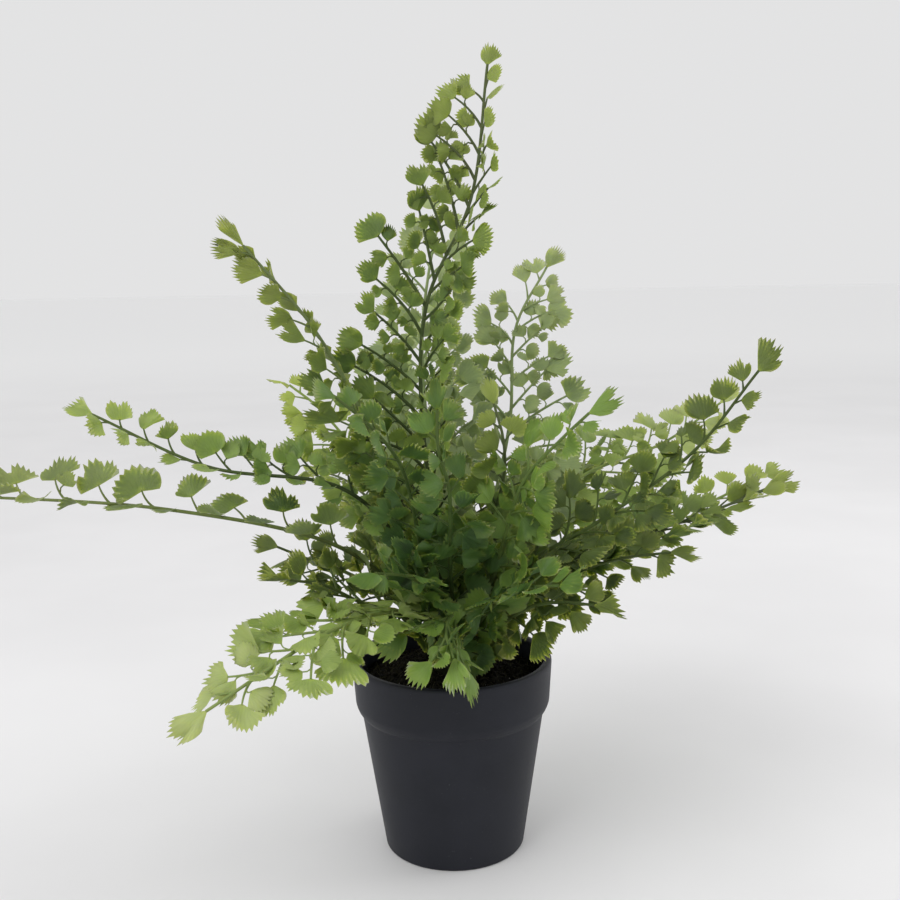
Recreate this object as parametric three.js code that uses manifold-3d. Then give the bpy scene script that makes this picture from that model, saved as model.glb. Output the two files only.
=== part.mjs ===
// Artificial maidenhair fern in a round plastic pot.
// Moulded sprays of fan-shaped leaflets slide onto bare stalks, and the stalks stand in a moulded crown
// that is cast into the pot under a topping of soil.
// Units are millimetres and +Z is up. The origin is the centre of the pot's base.
import * as THREE from "three";
import { mergeVertices } from "three/addons/utils/BufferGeometryUtils.js";
import Module from "manifold-3d";

const wasm = await Module();
wasm.setup();

// Pot
const POT_HEIGHT = 117;
const BASE_RADIUS = 42.2;
const BODY_SLOPE = 0.15;
const COLLAR_BOTTOM = 84.5;
const COLLAR_EDGE = 92;
const COLLAR_RADIUS = 58.5;
const RIM_RADIUS = 60;
const LIP_WIDTH = 4.8;
const WALL = 2.3;
const FLOOR = 3;
const FOOT_ROUND = 1.6;
const LIP_ROUND = 2.4;
const LIP_INNER_ROUND = 1;
const COLLAR_BEVEL_IN = 1.9;
const COLLAR_BEVEL_UP = 1.6;
const COLLAR_SHOULDER_IN = 0.5;
const COLLAR_SHOULDER_DROP = 3.8;
const ROUND_SEGMENTS = 32;

// What the pot holds
const CLEARANCE = 0.3;
const WEIGHT_TOP = 56;
const FOAM_TOP = 96;
const FOAM_BEVEL = 1;
const SOIL_EDGE = 103.5;
const SOIL_SLOPE = 105;
const SOIL_SLOPE_AT = 0.84;
const SOIL_SHOULDER = 107.5;
const SOIL_SHOULDER_AT = 0.55;
const SOIL_MIDDLE = 111;
const SOIL_MIDDLE_REACH = 15.4;
const SHAFT_RADIUS = 7.5;
const SHAFT_BOTTOM = 46;
const HEAD_BOTTOM = 101;
const CROWN_RADIUS = 14.4;
const CROWN_TOP = 117;
const SHAFT_TIP_IN = 1;
const SHAFT_TIP_UP = 2;
const HEAD_BEVEL = 1;
const CROWN_ROUND_IN = 2;
const CROWN_ROUND_SIDE = 2.5;
const CROWN_ROUND_TOP = 0.6;
const CROWN_SEGMENTS = 16;

// Stalks and sprays
const STALK_RADIUS = 1.1;
const RACHIS_RADIUS = 1.1;
const SLEEVE_RADIUS = 2.3;
const SLEEVE_LENGTH = 7;
const SLEEVE_LAP = 1.5;
const BORE_RADIUS = 1.75;
const SOCKET_DEPTH = 12;
const TUBE_SIDES = 5;
const CURVE_STEP = 24;

// Side leaves: their thickness, half the width of their foot, their distance along the rachis, the angle
// at which they leave it, the reach under which a leaf is a single fan, the shortest reach, and the part
// of a sine wave that the reach follows
const LEAF_THICKNESS = 0.8;
const LEAF_FOOT = 0.7;
const LEAF_SPACING = 22;
const LEAF_SWEEP = 0.95;
const SMALL_LEAF = 25;
const SHORTEST_LEAF = 15;
const REACH_START = 0.32 * Math.PI;
const REACH_SPAN = 0.62 * Math.PI;

// Outlines between the two corners of the foot, as shares of the reach: one fan, and three on one stalk
const SINGLE_FAN = [[0.55, -0.4], [1, -0.1], [0.6, 0.42]];
const TRIPLE_FAN = [[0.45, -0.34], [0.6, -0.08], [1, -0.17], [0.97, 0.2], [0.6, 0.08], [0.5, 0.34]];

// What a leaf that would run into another frond is tilted by, and then shortened by
const TILTS = [0.15, 0.45, -0.15, 0.8, -0.5];
const SHRINKS = [1, 0.72, 0.5];

// Rings of sockets in the crown: radius of the ring, sockets in it, turn of the first one, height of the
// mouths
const SOCKET_RINGS = [
  { radius: 3.3, count: 5, turn: 0, mouth: 118 },
  { radius: 7.2, count: 8, turn: 0.5, mouth: 117.5 },
  { radius: 12, count: 15, turn: 0, mouth: 116.5 },
];

// Every frond: its socket, the points that it passes through, the way that its leaves face, the length of
// its bare stalk from the foot of the socket, and the reach of its longest side leaf.
const FRONDS = [
  { name: "tall_front", ring: 0, slot: 3, face: [0.1, -1, 0.2], stalk: 62, reach: 54,
    through: [[-6, -14, 180], [-15, -16, 275], [-10, -20, 330], [15, -20, 385], [25, -20, 456]] },
  { name: "tall_back", ring: 0, slot: 1, face: [-0.2, -1, 0.3], stalk: 60, reach: 44,
    through: [[-5, 20, 170], [-15, 40, 300], [-10, 40, 345], [0, 50, 390]] },
  { name: "back_right_upright", ring: 1, slot: 1, face: [-0.1, -1, 0.3], stalk: 56, reach: 48,
    through: [[22, 38, 180], [40, 65, 250], [45, 75, 310], [66, 85, 348]] },
  { name: "left_high", ring: 0, slot: 2, face: [0.7, -0.35, 0.6], stalk: 58, reach: 38,
    through: [[-18, -2, 175], [-42, -30, 255], [-70, -45, 315], [-105, -56, 361]] },
  { name: "left_upper", ring: 1, slot: 4, face: [0.1, -0.4, 1], stalk: 50, reach: 38,
    through: [[-27, -18, 188], [-60, -25, 225], [-135, -30, 240], [-195, -40, 272]] },
  { name: "left_long", ring: 2, slot: 7, face: [0, -0.2, 1], stalk: 46, reach: 38,
    through: [[-32, -14, 162], [-65, -35, 195], [-155, -45, 219], [-285, -50, 231]] },
  { name: "left_droop", ring: 2, slot: 9, face: [-0.2, -0.6, 1], stalk: 40, reach: 42,
    through: [[-15, -25, 147], [-35, -60, 163], [-65, -108, 166], [-115, -153, 145]] },
  { name: "centre_left", ring: 2, slot: 10, face: [-0.1, -0.7, 0.8], stalk: 36, reach: 36,
    through: [[-8, -34, 152], [-20, -70, 184], [-38, -98, 195]] },
  { name: "left_low", ring: 2, slot: 8, face: [-0.1, -0.6, 1], stalk: 36, reach: 38,
    through: [[-28, -22, 148], [-50, -42, 163], [-70, -57, 178], [-86, -68, 184]] },
  { name: "front_droop", ring: 2, slot: 11, face: [0.1, -1, 0.8], stalk: 32, reach: 36,
    through: [[6, -35, 150], [0, -64, 161], [-3, -84, 158], [1, -98, 149]] },
  { name: "right_high", ring: 0, slot: 0, face: [-0.4, -0.8, 0.7], stalk: 52, reach: 42,
    through: [[30, -10, 165], [85, -30, 205], [135, -40, 245], [168, -48, 290]] },
  { name: "right_long", ring: 2, slot: 1, face: [-0.1, -0.8, 0.8], stalk: 44, reach: 40,
    through: [[35, 20, 150], [95, 40, 175], [165, 55, 196], [204, 60, 213]] },
  { name: "right_back", ring: 1, slot: 0, face: [-0.2, -0.8, 0.9], stalk: 52, reach: 44,
    through: [[35, 30, 168], [85, 75, 210], [145, 95, 230], [185, 105, 255]] },
  { name: "right_near", ring: 1, slot: 7, face: [0.1, -0.7, 0.9], stalk: 54, reach: 40,
    through: [[25, -30, 175], [40, -65, 235], [58, -84, 260], [71, -92, 274]] },
  { name: "centre_right", ring: 2, slot: 12, face: [0.1, -0.7, 0.8], stalk: 36, reach: 36,
    through: [[18, -32, 150], [36, -74, 178], [55, -102, 188]] },
  { name: "right_low", ring: 2, slot: 13, face: [0.2, -0.9, 0.8], stalk: 34, reach: 36,
    through: [[25, -25, 140], [45, -45, 160], [62, -58, 166], [77, -68, 167]] },
  { name: "right_dip", ring: 2, slot: 14, face: [0.2, -0.7, 0.9], stalk: 38, reach: 38,
    through: [[30, -8, 150], [64, -15, 168], [98, -20, 180], [127, -23, 184]] },
  { name: "left_back", ring: 1, slot: 3, face: [-0.2, -0.5, 1], stalk: 54, reach: 44,
    through: [[-15, 25, 170], [-50, 60, 220], [-85, 80, 260], [-104, 88, 274]] },
  { name: "left_near", ring: 1, slot: 5, face: [-0.2, -0.7, 0.8], stalk: 56, reach: 40,
    through: [[-15, -35, 185], [-25, -70, 245], [-40, -90, 270], [-55, -100, 285]] },
  { name: "front_high", ring: 1, slot: 6, face: [0, -0.7, 0.8], stalk: 54, reach: 38,
    through: [[0, -45, 180], [0, -85, 235], [-5, -105, 260], [-5, -115, 280]] },
  { name: "right_front_upright", ring: 0, slot: 4, face: [0.3, -1, 0.3], stalk: 50, reach: 38,
    through: [[15, -20, 180], [30, -40, 230], [30, -50, 255], [25, -50, 275]] },
  { name: "back_left_arch", ring: 2, slot: 5, face: [-0.2, 0.3, 1], stalk: 44, reach: 44,
    through: [[-15, 35, 150], [-40, 85, 180], [-70, 130, 200], [-100, 165, 205]] },
  { name: "back_arch", ring: 2, slot: 4, face: [0, 0.3, 1], stalk: 44, reach: 44,
    through: [[0, 35, 155], [0, 90, 195], [5, 140, 215], [10, 180, 220]] },
  { name: "back_right_arch", ring: 2, slot: 2, face: [0.2, 0.3, 1], stalk: 44, reach: 44,
    through: [[20, 35, 145], [50, 85, 180], [80, 130, 205], [110, 165, 205]] },
  { name: "right_under", ring: 2, slot: 0, face: [-0.1, -0.6, 0.9], stalk: 44, reach: 36,
    through: [[32, 2, 152], [95, 2, 182], [157, 14, 199], [195, 22, 212]] },
  { name: "left_side", ring: 2, slot: 6, face: [-0.1, -0.6, 0.9], stalk: 40, reach: 36,
    through: [[-28, 8, 145], [-63, 6, 168], [-84, 6, 176], [-104, 8, 184]] },
  { name: "back_upper", ring: 1, slot: 2, face: [-0.1, -1, 0.4], stalk: 54, reach: 44,
    through: [[-8, 38, 175], [-16, 75, 240], [-14, 100, 290], [-4, 118, 325]] },
];

// Materials
const POT_PLASTIC = new THREE.MeshStandardMaterial({ color: 0x2b2e33, roughness: 0.55, metalness: 0 });
const CEMENT = new THREE.MeshStandardMaterial({ color: 0x9b9a94, roughness: 0.95, metalness: 0 });
const FOAM = new THREE.MeshStandardMaterial({ color: 0x5c6b45, roughness: 1, metalness: 0 });
const SOIL = new THREE.MeshStandardMaterial({ color: 0x2a231b, roughness: 1, metalness: 0 });
const STALK_PLASTIC = new THREE.MeshStandardMaterial({ color: 0x4b5a2c, roughness: 0.6, metalness: 0 });
const LEAF_PLASTIC = new THREE.MeshStandardMaterial({ color: 0x5f8c3c, roughness: 0.6, metalness: 0 });

/** A closed manifold solid with a geometry's shape: shared vertices joined, collapsed triangles dropped. */
function solidOf(geometry) {
  const bare = geometry.clone();
  bare.deleteAttribute("normal");
  bare.deleteAttribute("uv");
  const merged = mergeVertices(bare, 1e-4);
  const index = merged.getIndex().array;
  const kept = [];
  for (let i = 0; i < index.length; i += 3) {
    const [a, b, c] = [index[i], index[i + 1], index[i + 2]];
    if (a !== b && b !== c && c !== a) kept.push(a, b, c);
  }
  return new wasm.Manifold(new wasm.Mesh({
    numProp: 3,
    vertProperties: new Float32Array(merged.getAttribute("position").array),
    triVerts: new Uint32Array(kept),
  }));
}

/** The geometry of a manifold solid, flat shaded. */
function geometryOf(solid) {
  const { vertProperties, triVerts } = solid.getMesh();
  const indexed = new THREE.BufferGeometry();
  indexed.setAttribute("position", new THREE.BufferAttribute(vertProperties, 3));
  indexed.setIndex(new THREE.BufferAttribute(triVerts, 1));
  const flat = indexed.toNonIndexed();
  flat.computeVertexNormals();
  return flat;
}

/** A solid of revolution about Z, from [radius, height] pairs that start and end on the axis. */
function turned(profile, segments) {
  const points = profile.map(([radius, height]) => new THREE.Vector2(radius, height));
  return solidOf(new THREE.LatheGeometry(points, segments).rotateX(Math.PI / 2));
}

/** The part of a curve between two distances along it, as a curve of its own with points `step` apart. */
function stretch(curve, from, to, step = CURVE_STEP) {
  const length = curve.getLength();
  const count = Math.max(2, Math.round((to - from) / step) + 1);
  const points = [];
  for (let i = 0; i < count; i++) {
    const distance = from + (to - from) * i / (count - 1);
    points.push(curve.getPointAt(Math.min(1, distance / length)));
  }
  return new THREE.CatmullRomCurve3(points);
}

/** A round bar along a curve, with one ring of vertices at each of the curve's points. */
function bar(curve, radius) {
  const section = new THREE.Shape();
  for (let i = 0; i < TUBE_SIDES; i++) {
    const angle = 2 * Math.PI * i / TUBE_SIDES;
    const [x, y] = [radius * Math.cos(angle), radius * Math.sin(angle)];
    if (i === 0) section.moveTo(x, y);
    else section.lineTo(x, y);
  }
  const steps = Math.max(1, curve.points.length - 1);
  return solidOf(new THREE.ExtrudeGeometry(section, { steps, bevelEnabled: false, extrudePath: curve }));
}

/** The line of a frond: straight up out of its socket, then through its own points. */
function frondCurve(frond) {
  const ring = SOCKET_RINGS[frond.ring];
  const angle = 2 * Math.PI * (frond.slot + ring.turn) / ring.count;
  const [x, y] = [ring.radius * Math.cos(angle), ring.radius * Math.sin(angle)];
  const foot = new THREE.Vector3(x, y, ring.mouth - SOCKET_DEPTH);
  const mouth = new THREE.Vector3(x, y, ring.mouth);
  const points = frond.through.map((point) => new THREE.Vector3(...point));
  return new THREE.CatmullRomCurve3([foot, mouth, ...points]);
}

/** Outline of a side leaf of the given reach: three fans on one stalk, or a single fan when it is small. */
function leafOutline(reach) {
  const margin = reach < SMALL_LEAF ? SINGLE_FAN : TRIPLE_FAN;
  const corners = margin.map(([along, across]) => new THREE.Vector2(along * reach, across * reach));
  return new THREE.Shape([new THREE.Vector2(0, -LEAF_FOOT), ...corners, new THREE.Vector2(0, LEAF_FOOT)]);
}

/** A flat side leaf standing on the point `foot`, running along `outward`, facing `face`. */
function leafGeometry(foot, outward, face, reach, margin) {
  const thickness = LEAF_THICKNESS + 2 * margin;
  const outline = leafOutline(reach + 2 * margin);
  const plate = new THREE.ExtrudeGeometry(outline, { depth: thickness, bevelEnabled: false });
  plate.translate(0, 0, -thickness / 2);
  const x = outward.clone().normalize();
  const z = face.clone().addScaledVector(x, -face.dot(x)).normalize();
  const y = new THREE.Vector3().crossVectors(z, x);
  const place = new THREE.Matrix4().makeBasis(x, y, z).setPosition(foot);
  return plate.applyMatrix4(place);
}

/** A solid with its box, so that far pieces are passed over quickly. */
function boxed(solid, geometry) {
  return { solid, box: new THREE.Box3().setFromBufferAttribute(geometry.getAttribute("position")) };
}

/** Whether a solid and its box run into any of the others. */
function meetsAny(piece, others) {
  return others.some((other) => piece.box.intersectsBox(other.box)
    && piece.solid.intersect(other.solid).getMesh().numTri > 0);
}

// Pot with its collar and rolled lip
const bodyAt = (height) => BASE_RADIUS + BODY_SLOPE * height;
const pot = turned([
  [0, 0],
  [BASE_RADIUS - FOOT_ROUND, 0],
  [bodyAt(FOOT_ROUND), FOOT_ROUND],
  [bodyAt(COLLAR_BOTTOM), COLLAR_BOTTOM],
  [COLLAR_RADIUS - COLLAR_BEVEL_IN, COLLAR_BOTTOM + COLLAR_BEVEL_UP],
  [COLLAR_RADIUS - COLLAR_SHOULDER_IN, COLLAR_EDGE - COLLAR_SHOULDER_DROP],
  [COLLAR_RADIUS, COLLAR_EDGE],
  [RIM_RADIUS, POT_HEIGHT - LIP_ROUND],
  [RIM_RADIUS - LIP_ROUND / 4, POT_HEIGHT - LIP_ROUND / 4],
  [RIM_RADIUS - LIP_ROUND, POT_HEIGHT],
  [RIM_RADIUS - LIP_WIDTH + LIP_INNER_ROUND, POT_HEIGHT],
  [RIM_RADIUS - LIP_WIDTH, POT_HEIGHT - LIP_INNER_ROUND],
  [COLLAR_RADIUS - WALL, COLLAR_EDGE],
  [bodyAt(COLLAR_BOTTOM) - WALL, COLLAR_BOTTOM],
  [bodyAt(FLOOR) - WALL, FLOOR],
  [0, FLOOR],
], ROUND_SEGMENTS);

// Cast weight with a hole for the crown, foam over it, and the soil on top
const insideAt = (height) => bodyAt(height) - WALL - CLEARANCE;
const crownHole = turned([[0, SHAFT_BOTTOM - CLEARANCE], [SHAFT_RADIUS + CLEARANCE, SHAFT_BOTTOM - CLEARANCE],
  [SHAFT_RADIUS + CLEARANCE, HEAD_BOTTOM - CLEARANCE], [CROWN_RADIUS + CLEARANCE, HEAD_BOTTOM - CLEARANCE],
  [CROWN_RADIUS + CLEARANCE, CROWN_TOP], [0, CROWN_TOP]], CROWN_SEGMENTS);
const weight = turned([[0, FLOOR + CLEARANCE], [insideAt(FLOOR), FLOOR + CLEARANCE],
  [insideAt(WEIGHT_TOP), WEIGHT_TOP], [0, WEIGHT_TOP]], ROUND_SEGMENTS).subtract(crownHole);
const foam = turned([[0, WEIGHT_TOP + CLEARANCE], [insideAt(WEIGHT_TOP), WEIGHT_TOP + CLEARANCE],
  [insideAt(COLLAR_BOTTOM), COLLAR_BOTTOM - FOAM_BEVEL], [insideAt(COLLAR_BOTTOM), FOAM_TOP],
  [0, FOAM_TOP]], ROUND_SEGMENTS).subtract(crownHole);
const soilRadius = RIM_RADIUS - LIP_WIDTH - CLEARANCE;
const soil = turned([[0, FOAM_TOP + CLEARANCE], [soilRadius, FOAM_TOP + CLEARANCE], [soilRadius, SOIL_EDGE],
  [SOIL_SLOPE_AT * soilRadius, SOIL_SLOPE], [SOIL_SHOULDER_AT * soilRadius, SOIL_SHOULDER],
  [SOIL_MIDDLE_REACH, SOIL_MIDDLE], [0, SOIL_MIDDLE]], ROUND_SEGMENTS).subtract(crownHole);

// Stalk lines, and the crown bored for every stalk
for (const frond of FRONDS) {
  frond.curve = frondCurve(frond);
  frond.length = frond.curve.getLength();
}
let crown = turned([
  [0, SHAFT_BOTTOM],
  [SHAFT_RADIUS - SHAFT_TIP_IN, SHAFT_BOTTOM],
  [SHAFT_RADIUS, SHAFT_BOTTOM + SHAFT_TIP_UP],
  [SHAFT_RADIUS, HEAD_BOTTOM],
  [CROWN_RADIUS - HEAD_BEVEL, HEAD_BOTTOM],
  [CROWN_RADIUS, HEAD_BOTTOM + HEAD_BEVEL],
  [CROWN_RADIUS, CROWN_TOP - CROWN_ROUND_SIDE],
  [CROWN_RADIUS - CROWN_ROUND_IN, CROWN_TOP - CROWN_ROUND_TOP],
  [0, CROWN_TOP],
], CROWN_SEGMENTS);
for (const frond of FRONDS) {
  const foot = frond.curve.getPointAt(0);
  const hole = new THREE.CylinderGeometry(BORE_RADIUS, BORE_RADIUS, 2 * SOCKET_DEPTH, TUBE_SIDES);
  hole.rotateX(Math.PI / 2).translate(foot.x, foot.y, foot.z + SOCKET_DEPTH - CLEARANCE);
  crown = crown.subtract(solidOf(hole));
}

// Bare stalks, then each spray's rachis with the sleeve that slides over the end of its stalk
const placed = [pot, soil, crown].map((solid) => boxed(solid, geometryOf(solid)));
for (const frond of FRONDS) {
  frond.wire = bar(stretch(frond.curve, 0, frond.stalk - CLEARANCE, SOCKET_DEPTH), STALK_RADIUS);
  const sleeveFrom = frond.stalk - SLEEVE_LENGTH;
  const sleeve = bar(stretch(frond.curve, sleeveFrom, frond.stalk + SLEEVE_LAP), SLEEVE_RADIUS);
  frond.bore = bar(stretch(frond.curve, sleeveFrom - 1, frond.stalk), BORE_RADIUS);
  const bladeLine = stretch(frond.curve, frond.stalk + CLEARANCE, frond.length, LEAF_SPACING);
  frond.blade = bar(bladeLine, RACHIS_RADIUS).add(sleeve);
  frond.lines = [boxed(frond.wire, geometryOf(frond.wire)), boxed(frond.blade, geometryOf(frond.blade))];
}

// Side leaves, left and right in turn, with one at the tip. A leaf that would run into another frond is
// tilted, then shortened, and left out where no tilt is free.
for (const frond of FRONDS) {
  const others = placed.concat(...FRONDS.filter((other) => other !== frond).map((other) => other.lines));
  const face = new THREE.Vector3(...frond.face);
  const bladeLength = frond.length - frond.stalk;
  const count = Math.round(bladeLength / LEAF_SPACING);
  frond.leaves = [];
  for (let i = 1; i <= count; i++) {
    const share = i / count;
    const at = Math.min(1, (frond.stalk + share * bladeLength) / frond.length);
    const foot = frond.curve.getPointAt(at);
    const along = frond.curve.getTangentAt(at);
    const side = new THREE.Vector3().crossVectors(face, along).normalize();
    const turn = i % 2 ? 1 : -1;
    const swing = i === count ? 0 : LEAF_SWEEP;
    const fullReach = Math.max(SHORTEST_LEAF, frond.reach * Math.sin(REACH_START + REACH_SPAN * share));
    const tries = SHRINKS.flatMap((shrink) => TILTS.map((tilt) => ({ reach: fullReach * shrink, tilt })));
    for (const { reach, tilt } of tries) {
      const across = side.clone().multiplyScalar(turn * Math.cos(tilt));
      across.addScaledVector(face, Math.sin(tilt));
      const outward = along.clone().multiplyScalar(Math.cos(swing));
      outward.addScaledVector(across, Math.sin(swing));
      const roomy = leafGeometry(foot, outward, face, reach, CLEARANCE);
      if (meetsAny(boxed(solidOf(roomy), roomy), others)) continue;
      const leaf = leafGeometry(foot, outward, face, reach, 0);
      frond.blade = frond.blade.add(solidOf(leaf));
      frond.leaves.push(boxed(solidOf(leaf), leaf));
      break;
    }
  }
  frond.blade = frond.blade.subtract(frond.bore);
  placed.push(...frond.leaves);
}

// The assembly
const group = new THREE.Group();
function addNode(name, solid, material) {
  const mesh = new THREE.Mesh(geometryOf(solid), material);
  mesh.name = name;
  group.add(mesh);
}
addNode("pot", pot, POT_PLASTIC);
addNode("weight", weight, CEMENT);
addNode("foam", foam, FOAM);
addNode("soil", soil, SOIL);
addNode("crown", crown, STALK_PLASTIC);
for (const frond of FRONDS) {
  addNode(`${frond.name}_stalk`, frond.wire, STALK_PLASTIC);
  addNode(`${frond.name}_spray`, frond.blade, LEAF_PLASTIC);
}

export default group;
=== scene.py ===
"""Artificial maidenhair fern in a charcoal plastic pot: every visible piece and its finish."""
import math

import bpy
import numpy as np
from mathutils import Matrix


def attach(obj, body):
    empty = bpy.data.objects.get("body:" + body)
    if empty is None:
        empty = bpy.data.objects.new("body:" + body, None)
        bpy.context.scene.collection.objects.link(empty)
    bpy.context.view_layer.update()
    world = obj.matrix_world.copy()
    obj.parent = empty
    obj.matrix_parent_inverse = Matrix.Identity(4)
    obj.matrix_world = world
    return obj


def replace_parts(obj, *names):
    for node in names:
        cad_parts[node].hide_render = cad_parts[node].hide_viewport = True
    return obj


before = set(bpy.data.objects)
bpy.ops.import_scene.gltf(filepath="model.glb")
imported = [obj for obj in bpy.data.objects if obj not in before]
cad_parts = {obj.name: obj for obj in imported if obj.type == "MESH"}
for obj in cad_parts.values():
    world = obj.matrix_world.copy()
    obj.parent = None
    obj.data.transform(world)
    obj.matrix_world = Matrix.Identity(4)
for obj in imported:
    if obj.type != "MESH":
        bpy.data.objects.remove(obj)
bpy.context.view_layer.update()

MM = 0.001

# Pot, in millimetres
POT_HEIGHT = 117.0
BASE_RADIUS = 42.2
BODY_SLOPE = 0.15
COLLAR_BOTTOM = 84.5
COLLAR_EDGE = 92.0
COLLAR_RADIUS = 58.5
RIM_RADIUS = 60.0
LIP_WIDTH = 4.8
WALL = 2.3
FLOOR = 3.0
POT_SEGMENTS = 192

# Soil, in millimetres. Its lumps are pairs of a length and a height.
SOIL_EDGE = 103.5
SOIL_MIDDLE = 111.0
SOIL_BOTTOM = 96.6
SOIL_SPAN = 55.0
SOIL_RADIUS = 54.6
SOIL_RINGS = 70
SOIL_SPOKES = 200
SOIL_LUMPS = [(16.0, 0.9), (5.0, 0.55), (2.2, 0.3)]

# Crumbs and fibres on the soil, in millimetres: how far from the axis they reach, how much chance stretches
# and dents a crumb, and a fibre's length, its bend in radians, the rise of its ends and its radius
CRUMB_REACH = 53.0
CRUMB_STRETCH = (0.6, 1.25)
CRUMB_DENT = 0.22
FIBRE_REACH = 50.0
FIBRE_LENGTH = (4, 13)
FIBRE_BEND = 1.2
FIBRE_RISE = (0.1, 2.4)
FIBRE_RADIUS = (0.09, 0.24)
FIBRE_PROFILE = (0.5, 0.9, 1, 1, 0.9, 0.4)

# Crown, in millimetres. A socket ring is its radius, the sockets in it, the turn of its first one, and the
# height of their mouths. The collar round a stalk is pairs of a height above the mouth and a radius.
CROWN_RADIUS = 14.0
CROWN_TOP = 117.0
CROWN_SEGMENTS = 64
HEAD_BOTTOM = 101.0
SHAFT_RADIUS = 7.5
SHAFT_BOTTOM = 46.0
SOCKET_DEPTH = 12.0
SOCKET_RINGS = [(3.3, 5, 0.0, 118.0), (7.2, 8, 0.5, 117.5), (12.0, 15, 0.0, 116.5)]
STALK_COLLAR = [(-3.0, 2.3), (-1.2, 2.2), (-0.2, 2.0), (0.4, 1.6)]
STALK_COLLAR_SIDES = 12

# Stems, in millimetres. The sleeve joins the rachis to the bare stalk, which stops STALK_GAP short of the
# spray. The profiles are in radii of the stalk, the branch and the leafstalk. BRANCH_GROWTH is a branch's
# least thickness, in its radius, and what every millimetre of its length adds.
STALK_RADIUS = 1.45
STALK_GAP = 0.3
STALK_RINGS = 20
STALK_SIDES = 10
RACHIS_RADIUS = 1.4
RACHIS_TIP_RADIUS = 0.75
RACHIS_STEP = 5
RACHIS_SIDES = 8
SLEEVE_LENGTH = 7
SLEEVE_LAP = 2.5
SLEEVE_PROFILE = (1.35, 1.5, 1.5, 1.5, 1.42, 1.2, 0.95)
BRANCH_RADIUS = 0.66
BRANCH_PROFILE = np.linspace(1.25, 0.75, 6)
BRANCH_GROWTH = (0.75, 0.012)
BRANCH_SIDES = 5
LEAFSTALK_RADIUS = 0.46
LEAFSTALK_PROFILE = (1.1, 0.9, 0.8)
LEAFSTALK_LENGTH = (3.6, 6.2)
LEAFSTALK_SIDES = 4

# Branches, in millimetres: the first starts below the spray's foot and the last stops short of its tip, and
# their spacing is given at the foot and at the tip. At the foot they are FOOT_SHARE of their full length, and
# they gain FOOT_GAIN of it per blade's length until they are full. Chance makes each longer or shorter by
# BRANCH_SHARES. The shortest have a range, and those under SHORT_BRANCH bear only their end leaf.
FIRST_BRANCH = -16.0
LAST_BRANCH = 7.0
BRANCH_SPACING = (9.0, 6.6)
FOOT_SHARE = 0.62
FOOT_GAIN = 2.2
TAPER_POWER = 0.8
BRANCH_SHARES = (0.76, 1.12)
SHORTEST_BRANCH = (5.0, 6.5)
SHORT_BRANCH = 14.0

# A branch's turns off the rachis, at its foot and at its end, and a leafstalk's off its branch, are in
# degrees, each a middle and a spread. BEND_SHARE is where the branch bends. FOLD_SHARES times a side's fold
# is what it has at the foot and at the tip. Leafstalks stand on a part of the branch, and rise off its sheet.
FOOT_TURN = (38, 7)
END_TURN = (52, 10)
BEND_SHARE = 0.45
BRANCH_SAG = 0.0016
FOLD_SHARES = (0.6, 1.3)
FOLD_SPREAD = 9
LEAFSTALK_PART = (0.16, 0.9)
LEAFSTALK_TURN = (58, 10)
LEAFSTALK_RISE = (0.06, 0.16)

# Leaflets, in millimetres. The one at a branch's end grows with the branch: its least size, its growth and
# its largest size, and the range of its chance. Those along the branches shrink from the foot to the tip.
# TIP_LEAF is how much larger than the least, and how much narrower in its fan, the frond's last one is. A
# fan's half angle has a spread and a range. LEAF_PITCH tips a leaflet, a middle and a spread in radians.
LEAF_THICKNESS = 0.45
LEAFLET_SPACING = 8.0
END_LEAF = (7.8, 0.12, 12.2)
END_SHARES = (0.86, 1.14)
SIDE_LEAF = (6.4, 9.6)
SIDE_SHARES = (1.1, 0.8)
TIP_LEAF = 1.55
LEAF_OVERLAP = 0.9
FAN_SPREAD = 0.14
FAN_RANGE = (0.7, 1.3)
LEAF_PITCH = (-0.05, 0.22)
MIDDLE_ROW = 0.55
VEINS = 11.0

# A leaflet's margin, as shares of its size. UNEVEN is how much less its high side falls off than its other
# side. A notch is its place, its width and its depth, with place and depth in those that chance gives.
FALL_POWER = (1.8, 2.8)
UNEVEN = 0.5
SKEW_SPREAD = 0.12
NOTCH_REACH = 0.5
NOTCH_DEPTHS = [0.04, 0.1, 0.18, 0.3]
NOTCHES = [(1.0, 0.12, 1.0), (-1.1, 0.1, 0.6)]

# Its teeth: how deep they are at the frond's foot and tip, the range and spread of chance in them, how far
# they point ahead and not straight out, how deep the valleys between them are and how far out they lie on
# the UV map, and where on the low side the teeth start to fade and are gone
TEETH = 13
TOOTH_SHARES = (0.8, 1.2)
TOOTH_RANGE = (0.7, 1.3)
TOOTH_SPREAD = 0.22
TOOTH_LEAN = 0.45
VALLEY = 0.7
VALLEY_V = 0.88
TOOTH_FADE = (0.25, 0.7)

# What lifts its sheet, each a middle and a spread, and how fast the wave goes up and down across it
CUP = (0.12, 0.17)
DROOP = (-0.12, 0.15)
WAVE = (0, 0.1)
WAVE_PITCH = 4.5

# Camera and lamps, in metres, degrees and watts. A lamp is its place, its size and its power.
CAMERA_PLACE = (0.0, -0.650, 0.343)
CAMERA_TILT = 81.2
CAMERA_ROLL = -1.04
CAMERA_LENS = 44.8
CAMERA_SHIFT = 0.002
LAMP_TARGET = (0, 0, 0.2)
LAMPS = {
    "window_light": ((-1.3, -1.4, 2.0), 1.6, 26.0),
    "room_light": ((1.6, 0.4, 1.3), 1.2, 9.0),
}

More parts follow.
